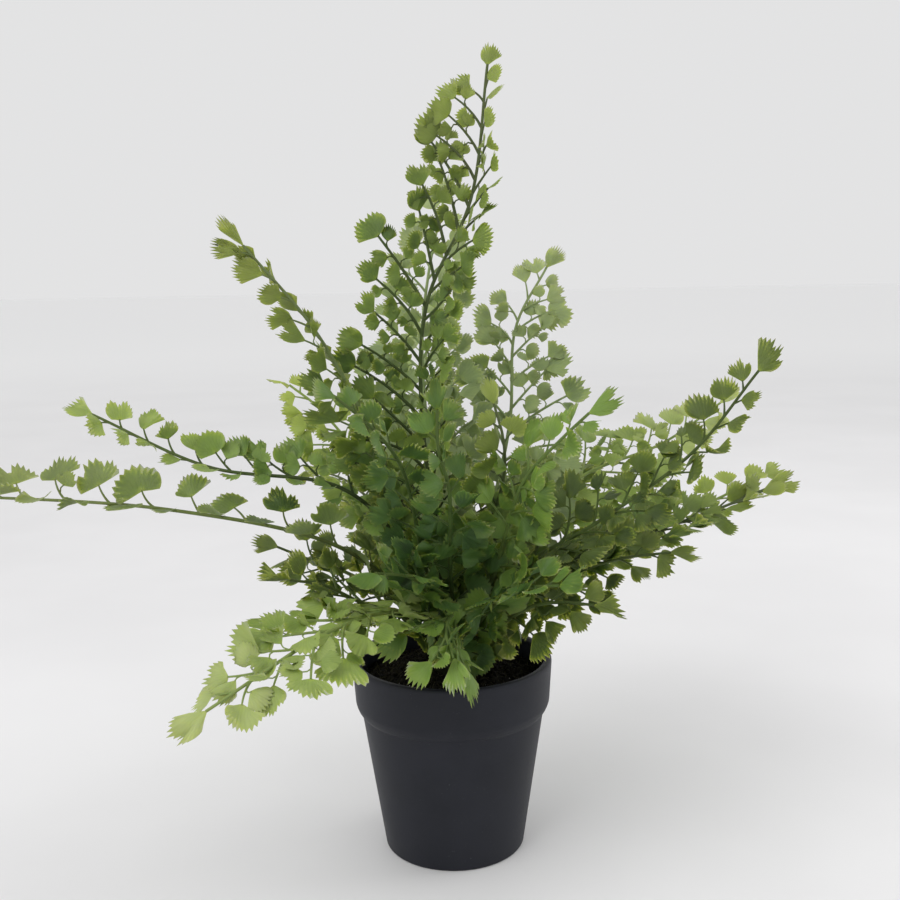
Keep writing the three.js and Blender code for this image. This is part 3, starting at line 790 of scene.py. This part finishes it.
def make_fibres(material, count=420, seed=9):
    """Moss and peat fibres: short hairs that bend as they go, and rise off the soil as the square of the
    distance from their middles."""
    chance = np.random.default_rng(seed)
    reach = FIBRE_REACH * np.sqrt(chance.uniform(0.05, 1, count))
    angle = chance.uniform(0, 2 * np.pi, count)
    heading = chance.uniform(0, 2 * np.pi, count)
    length = chance.uniform(*FIBRE_LENGTH, count)
    bend = chance.uniform(-FIBRE_BEND, FIBRE_BEND, count)
    t = np.linspace(-0.5, 0.5, len(FIBRE_PROFILE))
    turn = heading[:, None] + bend[:, None] * t[None]
    x = (reach * np.cos(angle))[:, None] + length[:, None] * t[None] * np.cos(turn)
    y = (reach * np.sin(angle))[:, None] + length[:, None] * t[None] * np.sin(turn)
    inside = np.minimum(1.0, CRUMB_REACH / np.maximum(np.hypot(x, y), 1e-6))
    x, y = x * inside, y * inside
    rise = chance.uniform(*FIBRE_RISE, count)[:, None] * (2 * t[None]) ** 2
    paths = np.stack([x, y, soil_height(x, y) + 0.25 + rise], -1)
    radii = chance.uniform(*FIBRE_RADIUS, count)[:, None] * np.array(FIBRE_PROFILE)
    up = np.tile([0.05, 0.1, 1.0], (count, 1))
    tint = np.stack([np.zeros(count), chance.uniform(0, 1, count)], -1)
    mesh = Mesh()
    mesh.add_tubes(paths, radii, 4, up, 0, tint)
    mesh.piece("moss_fibres", [material], 80.0)


# ---------------------------------------------------------------- fronds

def spline(points, density=60):
    """Centripetal Catmull-Rom curve through the points: on each span, a cubic Hermite whose end slopes are
    the non-uniform finite differences, with time steps equal to the square root of the distance."""
    points = np.asarray(points, float)
    points = np.vstack([2 * points[0] - points[1], points, 2 * points[-1] - points[-2]])
    step = np.linalg.norm(np.diff(points, axis=0), axis=1) ** 0.5
    t = np.linspace(0, 1, density, endpoint=False)[:, None]
    spans = []
    for i in range(1, len(points) - 2):
        p0, p1, p2, p3 = points[i - 1:i + 3]
        a, b, c = step[i - 1], step[i], step[i + 1]
        m1 = ((p1 - p0) / a - (p2 - p0) / (a + b) + (p2 - p1) / b) * b
        m2 = ((p2 - p1) / b - (p3 - p1) / (b + c) + (p3 - p2) / c) * b
        spans.append((2 * t**3 - 3 * t**2 + 1) * p1 + (t**3 - 2 * t**2 + t) * m1
                     + (-2 * t**3 + 3 * t**2) * p2 + (t**3 - t**2) * m2)
    return np.vstack([*spans, points[-2][None]])


class Line:
    """A curve that gives its point and its direction at any distance along it."""

    def __init__(self, points):
        self.points = points
        self.distance = np.r_[0, np.cumsum(np.linalg.norm(np.diff(points, axis=0), axis=1))]
        self.length = self.distance[-1]
        self.ahead = unit(np.gradient(points, axis=0))

    def read(self, values, distance):
        """Values at the curve's own points, read between them at other distances."""
        return np.stack([np.interp(distance, self.distance, values[:, k]) for k in range(3)], -1)

    def at(self, distance):
        """Points at the distances."""
        return self.read(self.points, distance)

    def ahead_at(self, distance):
        """Directions at the distances."""
        return unit(self.read(self.ahead, distance))


def socket_mouth(ring, slot):
    """Middle of a socket's mouth."""
    radius, count, turn, height = SOCKET_RINGS[ring]
    angle = 2 * math.pi * (slot + turn) / count
    return np.array([radius * math.cos(angle), radius * math.sin(angle), height])


def frond_line(ring, slot, through):
    """The frond's line: straight up out of its socket, then through its own points."""
    mouth = socket_mouth(ring, slot)
    return Line(spline([mouth - [0, 0, SOCKET_DEPTH], mouth, *through]))


COLUMNS = 2 * TEETH + 1
ACROSS = np.linspace(-1, 1, COLUMNS)
INNER_ACROSS = ACROSS[::2]
TOOTH_POINTS = np.arange(COLUMNS) % 2 == 1


def leaf_faces():
    """Faces of one leaflet, by its own point numbers: apex, two side points, the margin, then the inner row
    on top and the inner row below. Each tooth has a wedge down to the apex and a five-cornered face out to
    the margin, on both sides. Top and bottom share the whole outline, so the leaflet is closed."""
    margin = 3 + np.arange(COLUMNS)
    inner = TEETH - 1
    top = np.r_[1, 3 + COLUMNS + np.arange(inner), 2]
    bottom = np.r_[1, 3 + COLUMNS + inner + np.arange(inner), 2]
    apex = np.zeros(TEETH, int)
    valley, point, after = margin[:-2:2], margin[1:-1:2], margin[2::2]
    wedges = [np.stack([apex, top[1:], top[:-1]], -1), np.stack([apex, bottom[:-1], bottom[1:]], -1)]
    outer = [np.stack([top[:-1], top[1:], after, point, valley], -1),
             np.stack([bottom[1:], bottom[:-1], valley, point, after], -1)]
    return [np.vstack(wedges), np.vstack(outer)]


LEAF_FACES = leaf_faces()


def leaflets(apex, axis, face, size, spread, shoulders, depths, age, chance):
    """Toothed fans, many at once. A fan's point at (u, v), where u goes from -1 to 1 across it and v from 0
    at its apex to 1 at its margin, lies at angle u * spread and radius size * v * margin(u). It is lifted
    along `face` by size * v squared times the sum of a droop, a cup that grows as u squared, and a sine
    wave of u.

    The margin is 1 less a fall, the shoulder times |u| to a power, less steep on the high side, then skewed
    by a share of u and cut by two notches, bell curves of u. Its points are the teeth's points, pushed out,
    and between them the valleys, pushed in. The teeth shrink by 0.6 u to the fourth towards the sides, and
    fade out at the low one.

    apex, axis and face are (leaves, 3), and size, the half angle spread, and age are (leaves,). `depths` is
    how far a tooth of middling chance stands out, times TOOTH_SHARES at the frond's foot and tip."""
    count = len(size)
    side = np.cross(axis, face)
    skew = chance.normal(0, SKEW_SPREAD, (count, 1))
    shoulder = chance.uniform(*shoulders, (count, 1))
    power = chance.uniform(*FALL_POWER, (count, 1))
    notch = chance.uniform(-NOTCH_REACH, NOTCH_REACH, (count, 1))
    depth = chance.choice(NOTCH_DEPTHS, (count, 1))
    tooth = depths * between(TOOTH_SHARES, age[:, None]) * chance.uniform(*TOOTH_RANGE, (count, 1))
    cup = chance.normal(*CUP, (count, 1))
    wave = chance.normal(*WAVE, (count, 1))
    wave_turn = chance.uniform(0, 2 * np.pi, (count, 1))
    droop = chance.normal(*DROOP, (count, 1))
    high_side = chance.choice([-1.0, 1.0], (count, 1))

    def outline(u):
        """Radius of the untoothed margin at each u."""
        notches = sum(share * np.exp(-((u - place * notch) / width) ** 2) for place, width, share in NOTCHES)
        fall = shoulder * np.abs(u) ** power * (1 - UNEVEN * high_side * u)
        return (1 - fall) * (1 + skew * u) * (1 - depth * notches)

    def surface(u, v, margin):
        """Points of the fan's middle sheet at one value of v, for each u."""
        radius = size[:, None] * v * margin
        angle = u * spread[:, None]
        lift = size[:, None] * v**2 * (cup * u**2 + droop + wave * np.sin(u * WAVE_PITCH + wave_turn))
        return (apex[:, None] + side[:, None] * (radius * np.sin(angle))[..., None]
                + axis[:, None] * (radius * np.cos(angle))[..., None] + face[:, None] * lift[..., None])

    inner = surface(INNER_ACROSS, MIDDLE_ROW, outline(INNER_ACROSS))
    margin = outline(ACROSS)
    outer = surface(ACROSS, 1.0, margin)
    starts, gone = TOOTH_FADE
    toothed = np.clip((high_side * ACROSS + gone) / (gone - starts), 0, 1) * (1 - 0.6 * ACROSS**4)
    in_and_out = np.where(TOOTH_POINTS, 1.0, -VALLEY) + chance.normal(0, TOOTH_SPREAD, (count, COLUMNS))
    push = size[:, None] * margin * tooth * in_and_out * toothed
    angle = ACROSS * spread[:, None]
    outer = outer + side[:, None] * (push * (1 - TOOTH_LEAN) * np.sin(angle))[..., None]
    outer = outer + axis[:, None] * (push * (TOOTH_LEAN + (1 - TOOTH_LEAN) * np.cos(angle)))[..., None]
    half = face[:, None] * (LEAF_THICKNESS / 2)
    points = np.concatenate([apex[:, None], inner[:, :1], inner[:, -1:], outer,
                             inner[:, 1:-1] + half, inner[:, 1:-1] - half], 1)
    row = np.stack([(INNER_ACROSS[1:-1] + 1) / 2, np.full(TEETH - 1, MIDDLE_ROW)], -1)
    edge = np.stack([(ACROSS + 1) / 2, np.where(TOOTH_POINTS, 1.0, VALLEY_V)], -1)
    uv = np.concatenate([[[0.5, 0.0], [0.0, MIDDLE_ROW], [1.0, MIDDLE_ROW]], edge, row, row])
    faces = copies(LEAF_FACES, count, len(uv))
    return points.reshape(-1, 3), faces, np.tile(uv, (count, 1))


def bezier(start, bend, end, rings):
    """Quadratic curves between many starts and ends, drawn towards their bends:
    (1 - t) squared start + 2 t (1 - t) bend + t squared end."""
    t = np.linspace(0, 1, rings)[None, :, None]
    return (1 - t) ** 2 * start[:, None] + 2 * t * (1 - t) * bend[:, None] + t**2 * end[:, None]


def branch_places(blade, spacing):
    """Distances of the side branches along a blade: the gap between them changes evenly from the foot's
    spacing to the tip's."""
    places = [FIRST_BRANCH]
    while places[-1] < blade - LAST_BRANCH:
        gap = between(BRANCH_SPACING, max(0, places[-1]) / blade)
        places.append(places[-1] + gap * spacing)
    return np.array(places[:-1])


def leafstalk_places(length):
    """Places of the leafstalks on the branches: each one's branch, its share of the way along, and its
    hand, 1 or -1 in turn. They are evenly spaced, the first about a third of a gap into LEAFSTALK_PART."""
    places = []
    for i in np.flatnonzero(length > SHORT_BRANCH):
        number = int(round((length[i] - SHORTEST_BRANCH[0]) / LEAFLET_SPACING))
        for k in range(number):
            share = between(LEAFSTALK_PART, (k + 0.35) / number)
            places.append((i, share, 1.0 if (k + i) % 2 else -1.0))
    branch, share, hand = np.array(places).T
    return branch.astype(int), share, hand


def towards(first, second, angles):
    """Directions turned by angles from the first, towards the second, which is square to it:
    first cos a + second sin a."""
    return first * np.cos(angles)[:, None] + second * np.sin(angles)[:, None]


def make_frond(name, index, spec, materials):
    """One frond: a bare stalk, and a spray of branches that leave the rachis left and right in turn. Every
    branch bears leaflets left and right in turn on short leafstalks, and one larger leaflet at its end.

    A branch is as long as its side's reach, less at the spray's foot and, over the taper, less as what is
    left of it to TAPER_POWER. It is a quadratic curve that leaves the rachis at one turn, ends at a wider
    one, and sags by BRANCH_SAG times its length squared. A side's fold raises its branches out of the
    frond's sheet."""
    ring, slot, face, stalk, reach, fold, habit, tone, through = spec
    leaf_size, spacing, half_angle, shoulders, depths, opening, taper, twist = HABITS[habit]
    chance = np.random.default_rng(100 + index)
    chance.uniform()  # The first draw is passed over
    line = frond_line(ring, slot, through)
    face = unit(np.array(face, float))
    blade = line.length - stalk
    spray = Mesh()

    # Branches
    places = branch_places(blade, spacing)
    share = np.maximum(places, 0) / blade
    count = len(places)
    foot = line.at(stalk + places)
    ahead = line.ahead_at(stalk + places)
    side = unit(np.cross(face, ahead))
    upper = np.cross(ahead, side)
    turn = np.where(np.arange(count) % 2, 1.0, -1.0)
    raised = np.where(turn > 0, *fold) * between(FOLD_SHARES, share) + chance.normal(0, FOLD_SPREAD, count)
    out = towards(side * turn[:, None], upper, np.radians(raised))
    leaf_face = towards(upper, -side * turn[:, None], np.radians(raised))
    shorter = np.minimum(1, FOOT_SHARE + FOOT_GAIN * share)
    shorter = shorter * np.minimum(1, (1 - share) / taper) ** TAPER_POWER
    length = np.where(turn > 0, *reach) * shorter * chance.uniform(*BRANCH_SHARES, count)
    length = np.maximum(length, chance.uniform(*SHORTEST_BRANCH, count))
    leave = towards(ahead, out, np.radians(chance.normal(*FOOT_TURN, count) * opening))
    arrive = towards(ahead, out, np.radians(chance.normal(*END_TURN, count) * opening))
    bend = foot + leave * (length * BEND_SHARE)[:, None]
    end = bend + arrive * (length * (1 - BEND_SHARE))[:, None]
    end[:, 2] -= BRANCH_SAG * length**2
    branch = bezier(foot, bend, end, len(BRANCH_PROFILE))
    branch_tint = np.stack([share, chance.uniform(0, 1, count)], -1)
    thickness = BRANCH_GROWTH[0] + BRANCH_GROWTH[1] * length
    radii = BRANCH_RADIUS * BRANCH_PROFILE * thickness[:, None]
    spray.add_tubes(branch, radii, BRANCH_SIDES, leaf_face, 1, branch_tint)

    # Leafstalks
    on_branch, at_share, hand = leafstalk_places(length)
    number = len(hand)
    at_ring = at_share * (len(BRANCH_PROFILE) - 1)
    ring_below = at_ring.astype(int)
    part = (at_ring - ring_below)[:, None]
    below, above = branch[on_branch, ring_below], branch[on_branch, ring_below + 1]
    base = below * (1 - part) + above * part
    going = unit(above - below)
    stalk_face = leaf_face[on_branch]
    lateral = unit(np.cross(stalk_face, going)) * hand[:, None]
    stalk_way = towards(going, lateral, np.radians(chance.normal(*LEAFSTALK_TURN, number)))
    stalk_way = unit(stalk_way + stalk_face * chance.normal(*LEAFSTALK_RISE, (number, 1)))
    stalk_length = chance.uniform(*LEAFSTALK_LENGTH, number)[:, None]
    stalk_end = base + stalk_way * stalk_length
    stalk_bend = base + (going * 0.45 + stalk_way * 0.3) * stalk_length  # Along the branch at first
    radii = np.tile(LEAFSTALK_RADIUS * np.array(LEAFSTALK_PROFILE), (number, 1))
    leafstalks = bezier(base, stalk_bend, stalk_end, len(LEAFSTALK_PROFILE))
    spray.add_tubes(leafstalks, radii, LEAFSTALK_SIDES, stalk_face, 1, branch_tint[on_branch])

    # Leaflets: those at the branches' ends, those on the leafstalks, and the last one at the rachis's end
    tip = np.array([line.length])
    apex = np.concatenate([branch[:, -1], stalk_end, line.at(tip)])
    axis = unit(np.concatenate([unit(branch[:, -1] - branch[:, -2]), stalk_way, line.ahead_at(tip)]))
    leaf_up = np.concatenate([leaf_face, stalk_face, face[None]])
    smallest, growth, largest = END_LEAF
    end_size = np.minimum(smallest + growth * length, largest) * chance.uniform(*END_SHARES, count)
    side_size = chance.uniform(*SIDE_LEAF, number) * between(SIDE_SHARES, share[on_branch])
    size = np.concatenate([end_size, side_size, [smallest * TIP_LEAF]]) * leaf_size
    total = len(size)
    spread = np.radians(half_angle * np.clip(chance.normal(1, FAN_SPREAD, total), *FAN_RANGE))
    spread[-1] /= TIP_LEAF
    ages = np.concatenate([share, share[on_branch], [1.0]])
    leaf_up = unit(leaf_up - axis * np.sum(leaf_up * axis, axis=1, keepdims=True))
    leaf_up = turned_by(leaf_up, axis, chance.normal(0, twist, total))
    across = np.cross(axis, leaf_up)
    pitch = chance.normal(*LEAF_PITCH, total)
    axis, leaf_up = turned_by(axis, across, pitch), turned_by(leaf_up, across, pitch)
    points, faces, uv = leaflets(apex - axis * LEAF_OVERLAP, axis, leaf_up, size, spread,
                                 shoulders, depths, ages, chance)
    tint = np.stack([ages, chance.uniform(0, 1, total)], -1)
    spray.add(points, faces, 0, uv, np.repeat(tint, len(points) // total, axis=0))

    # Rachis, and the sleeve that joins it to the stalk
    up = face[None] + 0.01
    along = np.linspace(0, 1, int(blade / RACHIS_STEP))
    radii = between((RACHIS_RADIUS, RACHIS_TIP_RADIUS), along)
    tint = np.stack([along, np.full(len(along), 0.5)], -1)
    spray.add_tubes(line.at(stalk + along * blade)[None], radii[None], RACHIS_SIDES, up, 1, tint)
    along = np.linspace(stalk - SLEEVE_LENGTH, stalk + SLEEVE_LAP, len(SLEEVE_PROFILE))
    radii = STALK_RADIUS * np.array(SLEEVE_PROFILE)
    spray.add_tubes(line.at(along)[None], radii[None], STALK_SIDES, up, 1)
    leaf, stem = materials[f"leaf_{tone}"], materials[f"stem_{tone}"]
    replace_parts(spray.piece(f"{name}_leaves", [leaf, stem]), f"{name}_spray")

    # Bare stalk
    bare = Mesh()
    along = np.linspace(0, stalk - STALK_GAP, STALK_RINGS)
    radii = np.full((1, STALK_RINGS), STALK_RADIUS)
    bare.add_tubes(line.at(along)[None], radii, STALK_SIDES, np.array([[0.3, 0.2, 0.1]]))
    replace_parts(bare.piece(f"{name}_wire_stalk", [stem]), f"{name}_stalk")


def make_crown(material):
    """Moulded hub: a shaft and a low dome, one profile turned round the axis, with a short tapered collar
    round every stalk."""
    dome = [
        (0, SHAFT_BOTTOM, 0),
        (SHAFT_RADIUS, SHAFT_BOTTOM, 1),
        (SHAFT_RADIUS, HEAD_BOTTOM, 1),
        (CROWN_RADIUS, HEAD_BOTTOM + 0.5, 0.8),
        (CROWN_RADIUS, CROWN_TOP - 1.5, 2.0),
        (0, CROWN_TOP - 0.2, 0),
    ]
    mesh = Mesh()
    mesh.add(*lathe(rounded(dome), CROWN_SEGMENTS))
    mouths = np.array([socket_mouth(ring, slot) for ring, slot, *_ in FRONDS.values()])
    collar = [[[0, 0, height] for height, _ in STALK_COLLAR]]
    radii = np.tile([radius for _, radius in STALK_COLLAR], (len(mouths), 1))
    up = np.tile([1.0, 0, 0], (len(mouths), 1))
    mesh.add_tubes(mouths[:, None] + collar, radii, STALK_COLLAR_SIDES, up)
    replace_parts(mesh.piece("crown_hub", [material], 40.0), "crown")


# ---------------------------------------------------------------- studio

def make_floor(material):
    """A wide pale table top."""
    side = 25.0
    corners = [(-side, -side, 0), (side, -side, 0), (side, side, 0), (-side, side, 0)]
    mesh = bpy.data.meshes.new("studio_floor")
    mesh.from_pydata(corners, [], [(0, 1, 2, 3)])
    mesh.materials.append(material)
    floor = bpy.data.objects.new("studio_floor", mesh)
    bpy.context.scene.collection.objects.link(floor)


def make_lamp(name, place, target, size, power):
    """A soft square lamp that looks at the target: its own Z points back from there."""
    data = bpy.data.lights.new(name, "AREA")
    data.shape = "SQUARE"
    data.size = size
    data.energy = power
    lamp = bpy.data.objects.new(name, data)
    lamp.location = place
    z = unit(np.array(place, float) - np.array(target, float))
    x = unit(np.cross([0, 0, 1.0], z))
    y = np.cross(z, x)
    lamp.rotation_euler = Matrix(np.stack([x, y, z], 1).tolist()).to_euler()
    bpy.context.scene.collection.objects.link(lamp)


def make_world(colour, strength):
    """Even light from all round."""
    world = bpy.data.worlds.new("soft_room")
    world.use_nodes = True
    background = world.node_tree.nodes["Background"]
    background.inputs["Color"].default_value = (*colour, 1.0)
    background.inputs["Strength"].default_value = strength
    bpy.context.scene.world = world


def make_camera():
    """A camera a little above the plant's middle, tipped down slightly, with a very small roll."""
    data = bpy.data.cameras.new("view")
    data.sensor_width = 36.0
    data.lens = CAMERA_LENS
    data.shift_x = CAMERA_SHIFT
    camera = bpy.data.objects.new("view", data)
    camera.location = CAMERA_PLACE
    camera.rotation_mode = "XYZ"
    tilt = Matrix.Rotation(math.radians(CAMERA_TILT), 3, "X")
    roll = Matrix.Rotation(math.radians(CAMERA_ROLL), 3, "Z")
    camera.rotation_euler = (tilt @ roll).to_euler()
    bpy.context.scene.collection.objects.link(camera)
    bpy.context.scene.camera = camera


# ---------------------------------------------------------------- everything together

MATERIALS = {}
for tone, (shaded, lit, young, stem, stem_tip) in TONES.items():
    MATERIALS[f"leaf_{tone}"] = leaf_finish(f"leaf_plastic_{tone}", shaded, lit, young)
    MATERIALS[f"stem_{tone}"] = stem_finish(f"stem_plastic_{tone}", stem, stem_tip)

make_camera()
make_pot(pot_finish())
make_soil(soil_finish())
peat_crumb = crumb_finish("peat_crumb", (0.004, 0.004, 0.003), (0.022, 0.019, 0.012))
pale_speck = crumb_finish("pale_speck", (0.3, 0.29, 0.27), (0.6, 0.59, 0.56))
make_crumbs("peat_crumbs", 700, (1.0, 3.4), peat_crumb, 21)
make_crumbs("pale_specks", 26, (0.5, 1.1), pale_speck, 22)
make_fibres(crumb_finish("moss_fibre", (0.012, 0.011, 0.006), (0.06, 0.055, 0.028)))
make_crown(crumb_finish("mossy_crown", (0.01, 0.012, 0.006), (0.035, 0.04, 0.017)))
for index, (name, spec) in enumerate(FRONDS.items()):
    make_frond(name, index, spec, MATERIALS)

INNER = {
    "weight": inner_finish("cast_cement", (0.2, 0.195, 0.185), (0.42, 0.41, 0.39), 260.0, 0.0008),
    "foam": inner_finish("dry_foam", (0.06, 0.08, 0.035), (0.13, 0.16, 0.075), 900.0, 0.0006),
}
for node, material in INNER.items():
    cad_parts[node].data.materials.clear()
    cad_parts[node].data.materials.append(material)

make_floor(floor_finish())
make_world((0.985, 0.985, 0.99), 0.78)
for name, (place, size, power) in LAMPS.items():
    make_lamp(name, place, LAMP_TARGET, size, power)
bpy.context.scene.view_settings.view_transform = "Standard"
